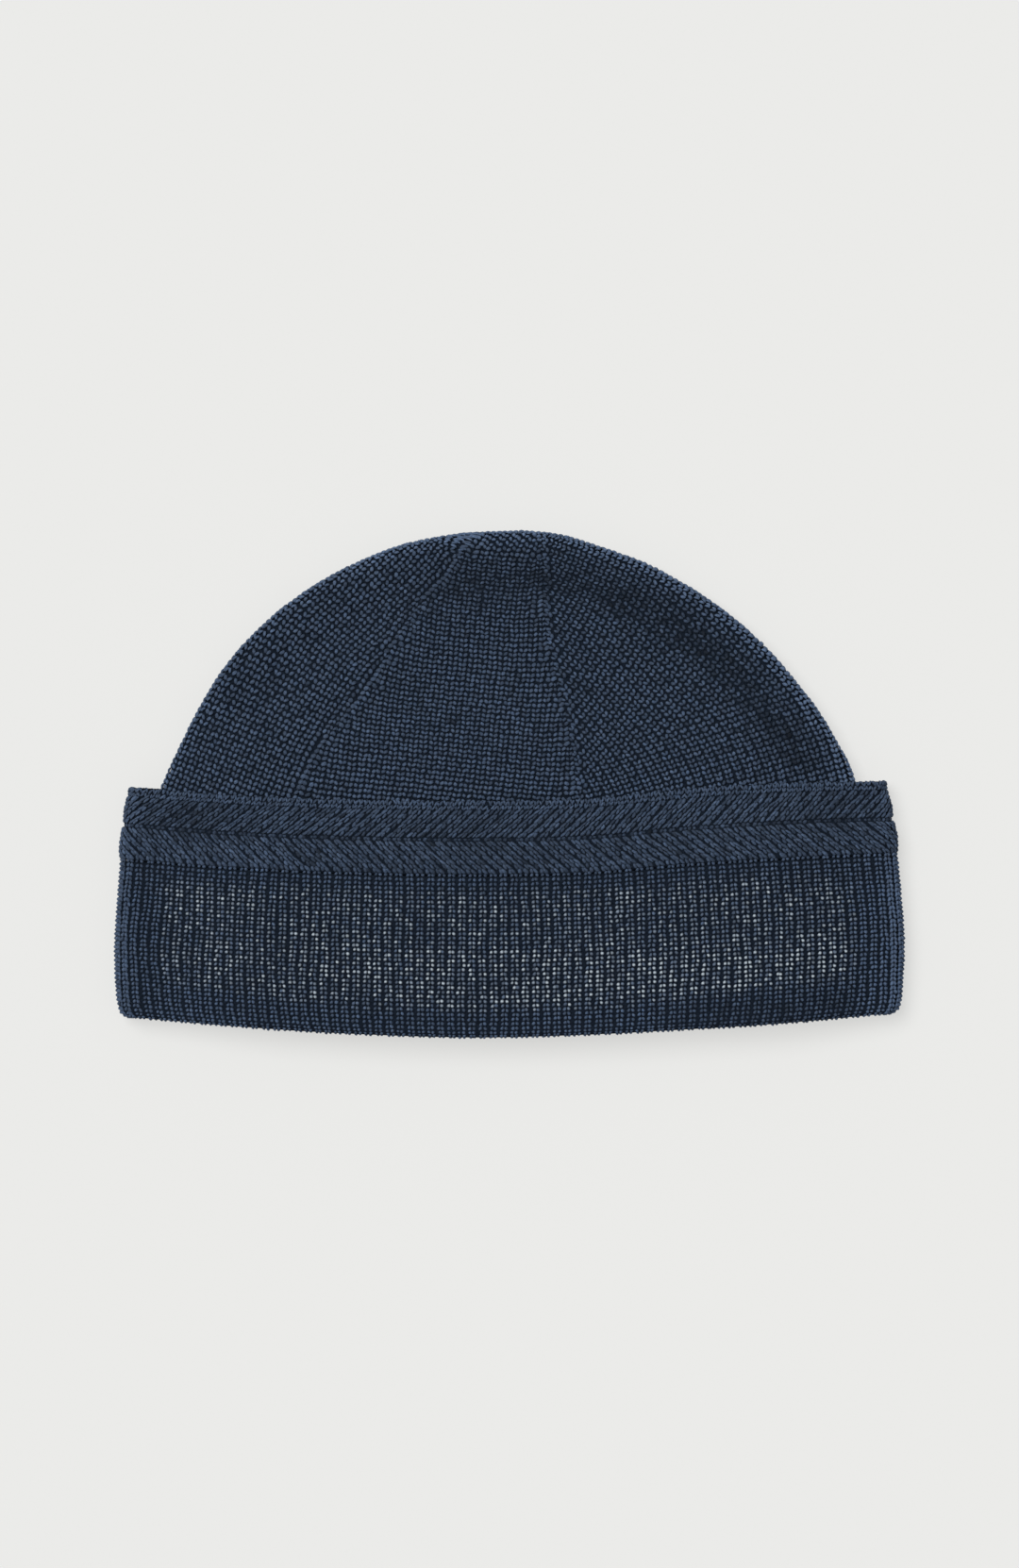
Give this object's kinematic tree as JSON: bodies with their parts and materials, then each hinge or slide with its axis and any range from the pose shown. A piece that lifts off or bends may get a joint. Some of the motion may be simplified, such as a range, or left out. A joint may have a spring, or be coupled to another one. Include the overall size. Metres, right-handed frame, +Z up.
{
  "type": "fisherman beanie",
  "caption": "Knitted fisherman beanie lying flat: a gored domed crown, a turned up rib cuff and a racked rib border along the cuff's edge.",
  "frame": {"origin": "middle of the hat's outline on the surface that it lies on", "axes": "+X across the hat to its right, +Y from the brim fold to the top of the crown, +Z up from the surface"},
  "size_m": [0.2449, 0.1574, 0.0169],
  "materials": {
    "crown_yarn": "navy wool knit, matt, with a short halo of fibres",
    "cuff_yarn": "navy wool rib knit, matt, flecked with pale stitch tips on the front",
    "border_yarn": "navy wool racked rib knit, matt"
  },
  "bodies": {
    "root": {"crown": "crown_yarn", "cuff": "cuff_yarn", "cuff_border": "border_yarn"}
  },
  "joints": []
}
